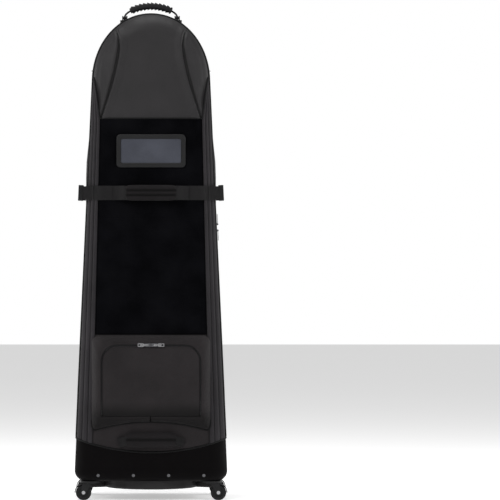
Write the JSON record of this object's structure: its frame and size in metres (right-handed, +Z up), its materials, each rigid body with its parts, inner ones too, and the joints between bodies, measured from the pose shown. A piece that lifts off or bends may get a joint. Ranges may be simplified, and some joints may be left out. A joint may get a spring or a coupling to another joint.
{
  "type": "golf travel case",
  "caption": "Upright padded golf travel case with a moulded hood, hinged front lid, shoe pocket, grab handles, side buckles and swivel casters.",
  "frame": {"origin": "on the floor, under the middle of the case's box", "axes": "+Z up, -Y the front with the lid, +X to the right seen from the front"},
  "size_m": [0.392, 0.3305, 1.284],
  "materials": {
    "case_fabric": "woven polyester, dark grey",
    "hood_shell": "fabric-faced moulded foam",
    "loop_velour": "brushed loop pile",
    "skirt_fabric": "coated smooth",
    "piping": "satin",
    "zip_tape": "woven tape with moulded coil",
    "webbing": "woven webbing",
    "grip_fabric": "padded ribbed",
    "grip_rubber": "ribbed",
    "badge_rubber": "moulded satin",
    "badge_face": "satin blue-grey",
    "lining_board": "knit lining on foam",
    "tray_plastic": "textured",
    "dark_plastic": "satin",
    "wheel_rubber": "matte",
    "slider_metal": "black enamel",
    "pull_metal": "nickel",
    "rivet_steel": "polished",
    "axle_steel": "bright zinc"
  },
  "bodies": {
    "case": {"base_tray": "tray_plastic", "base_board": "lining_board", "base_skirt": "skirt_fabric", "skirt_piping": "piping", "skirt_rivets": "rivet_steel", "base_screws": "rivet_steel", "caster_cups": "dark_plastic", "rear_wheel_axles": "axle_steel", "back_panel": "case_fabric", "left_gusset": "case_fabric", "right_gusset": "case_fabric", "top_gusset": "case_fabric", "case_zip": "zip_tape", "case_piping": "piping", "case_straps": "webbing", "top_handle_feet": "dark_plastic", "buckle_sockets": "dark_plastic", "inner_straps": "webbing"},
    "lid": {"front_panel": "loop_velour", "dome_shell": "hood_shell", "lid_border": "case_fabric", "lid_piping": "piping", "lid_zip": "zip_tape", "badge_frame": "badge_rubber", "badge_plate": "badge_face", "band_webbing": "webbing", "pocket_body": "case_fabric", "pocket_zip": "zip_tape", "side_straps": "webbing"},
    "pocket_flap": {"pocket_flap": "case_fabric"},
    "mid_handle": {"mid_grip": "grip_fabric", "mid_webbing": "webbing"},
    "lower_handle": {"low_grip": "grip_fabric", "low_webbing": "webbing"},
    "top_handle": {"top_grip": "grip_rubber", "top_strap": "webbing"},
    "main_slider_upper": {"main_slider_upper": "slider_metal"},
    "main_pull_upper": {"main_pull_upper": "pull_metal"},
    "main_slider_lower": {"main_slider_lower": "slider_metal"},
    "main_pull_lower": {"main_pull_lower": "pull_metal"},
    "pocket_slider_left": {"pocket_slider_left": "slider_metal"},
    "pocket_pull_left": {"pocket_pull_left": "pull_metal"},
    "pocket_slider_right": {"pocket_slider_right": "slider_metal"},
    "pocket_pull_right": {"pocket_pull_right": "pull_metal"},
    "buckle_plug_left": {"buckle_plug_left": "dark_plastic"},
    "rear_roller_left": {"rear_wheel_left": "wheel_rubber"},
    "buckle_plug_right": {"buckle_plug_right": "dark_plastic"},
    "rear_roller_right": {"rear_wheel_right": "wheel_rubber"},
    "caster_front_left": {"caster_fork_front_left": "dark_plastic", "caster_axle_front_left": "axle_steel"},
    "caster_roller_front_left": {"caster_wheel_front_left": "wheel_rubber"},
    "caster_front_right": {"caster_fork_front_right": "dark_plastic", "caster_axle_front_right": "axle_steel"},
    "caster_roller_front_right": {"caster_wheel_front_right": "wheel_rubber"},
    "caster_rear_left": {"caster_fork_rear_left": "dark_plastic", "caster_axle_rear_left": "axle_steel"},
    "caster_roller_rear_left": {"caster_wheel_rear_left": "wheel_rubber"},
    "caster_rear_right": {"caster_fork_rear_right": "dark_plastic", "caster_axle_rear_right": "axle_steel"},
    "caster_roller_rear_right": {"caster_wheel_rear_right": "wheel_rubber"}
  },
  "joints": [
    {"name": "lid_hinge", "type": "hinge", "parent": "case", "child": "lid", "pos_m": [0, -0.14129, 0.128], "axis": [1, 0, 0], "range_deg": [0, 95]},
    {"name": "pocket_flap_hinge", "type": "hinge", "parent": "lid", "child": "pocket_flap", "pos_m": [0, -0.16623, 0.21885], "axis": [1, 0, 0], "range_deg": [0, 100]},
    {"name": "mid_handle_swing", "type": "hinge", "parent": "lid", "child": "mid_handle", "pos_m": [0, -0.12009, 0.788], "axis": [1, 0, 0], "range_deg": [-25, 25], "deforming": ["mid_webbing"]},
    {"name": "lower_handle_swing", "type": "hinge", "parent": "lid", "child": "lower_handle", "pos_m": [0, -0.14228, 0.14611], "axis": [1, 0, 0], "range_deg": [0, 35]},
    {"name": "top_handle_swing", "type": "hinge", "parent": "case", "child": "top_handle", "pos_m": [0, 0.008, 1.244], "axis": [1, 0, 0], "range_deg": [-30, 30]},
    {"name": "main_slider_upper_travel", "type": "slide", "parent": "case", "child": "main_slider_upper", "axis": [-0.0453, 0.0283, 0.9986], "range_m": [0, 0.29]},
    {"name": "main_pull_upper_swing", "type": "hinge", "parent": "main_slider_upper", "child": "main_pull_upper", "pos_m": [0.17121, -0.08036, 0.70832], "axis": [0.0013, 0.9996, -0.0283], "range_deg": [0, 150]},
    {"name": "main_slider_lower_travel", "type": "slide", "parent": "case", "child": "main_slider_lower", "axis": [0.0453, -0.0283, -0.9986], "range_m": [0, 0.48]},
    {"name": "main_pull_lower_swing", "type": "hinge", "parent": "main_slider_lower", "child": "main_pull_lower", "pos_m": [0.17194, -0.08081, 0.69232], "axis": [-0.0013, -0.9996, 0.0283], "range_deg": [0, 150]},
    {"name": "pocket_slider_left_travel", "type": "slide", "parent": "pocket_flap", "child": "pocket_slider_left", "axis": [-1, 0, 0], "range_m": [0, 0.066]},
    {"name": "pocket_pull_left_swing", "type": "hinge", "parent": "pocket_slider_left", "child": "pocket_pull_left", "pos_m": [-0.008, -0.1672, 0.40002], "axis": [0, 0.0283, 0.9996], "range_deg": [0, 150]},
    {"name": "pocket_slider_right_travel", "type": "slide", "parent": "pocket_flap", "child": "pocket_slider_right", "axis": [1, 0, 0], "range_m": [0, 0.066]},
    {"name": "pocket_pull_right_swing", "type": "hinge", "parent": "pocket_slider_right", "child": "pocket_pull_right", "pos_m": [0.008, -0.1672, 0.40002], "axis": [0, -0.0283, -0.9996], "range_deg": [0, 150]},
    {"name": "buckle_plug_left_release", "type": "slide", "parent": "lid", "child": "buckle_plug_left", "axis": [0, -1, 0], "range_m": [0, 0.028], "deforming": ["side_straps"]},
    {"name": "buckle_plug_right_release", "type": "slide", "parent": "lid", "child": "buckle_plug_right", "axis": [0, -1, 0], "range_m": [0, 0.028]},
    {"name": "caster_swivel_front_left", "type": "hinge", "parent": "case", "child": "caster_front_left", "pos_m": [-0.153, -0.094, 0.046], "axis": [0, 0, 1], "continuous": true},
    {"name": "caster_roll_front_left", "type": "hinge", "parent": "caster_front_left", "child": "caster_roller_front_left", "pos_m": [-0.173, -0.094, 0.02], "axis": [0, 1, 0], "continuous": true},
    {"name": "caster_swivel_front_right", "type": "hinge", "parent": "case", "child": "caster_front_right", "pos_m": [0.153, -0.094, 0.046], "axis": [0, 0, 1], "continuous": true},
    {"name": "caster_roll_front_right", "type": "hinge", "parent": "caster_front_right", "child": "caster_roller_front_right", "pos_m": [0.173, -0.094, 0.02], "axis": [0, 1, 0], "continuous": true},
    {"name": "caster_swivel_rear_left", "type": "hinge", "parent": "case", "child": "caster_rear_left", "pos_m": [-0.153, 0.113, 0.046], "axis": [0, 0, 1], "continuous": true},
    {"name": "caster_roll_rear_left", "type": "hinge", "parent": "caster_rear_left", "child": "caster_roller_rear_left", "pos_m": [-0.173, 0.113, 0.02], "axis": [0, 1, 0], "continuous": true},
    {"name": "caster_swivel_rear_right", "type": "hinge", "parent": "case", "child": "caster_rear_right", "pos_m": [0.153, 0.113, 0.046], "axis": [0, 0, 1], "continuous": true},
    {"name": "caster_roll_rear_right", "type": "hinge", "parent": "caster_rear_right", "child": "caster_roller_rear_right", "pos_m": [0.173, 0.113, 0.02], "axis": [0, 1, 0], "continuous": true},
    {"name": "rear_wheel_roll_left", "type": "hinge", "parent": "case", "child": "rear_roller_left", "pos_m": [-0.082, 0.139, 0.042], "axis": [1, 0, 0], "continuous": true},
    {"name": "rear_wheel_roll_right", "type": "hinge", "parent": "case", "child": "rear_roller_right", "pos_m": [0.082, 0.139, 0.042], "axis": [1, 0, 0], "continuous": true}
  ]
}
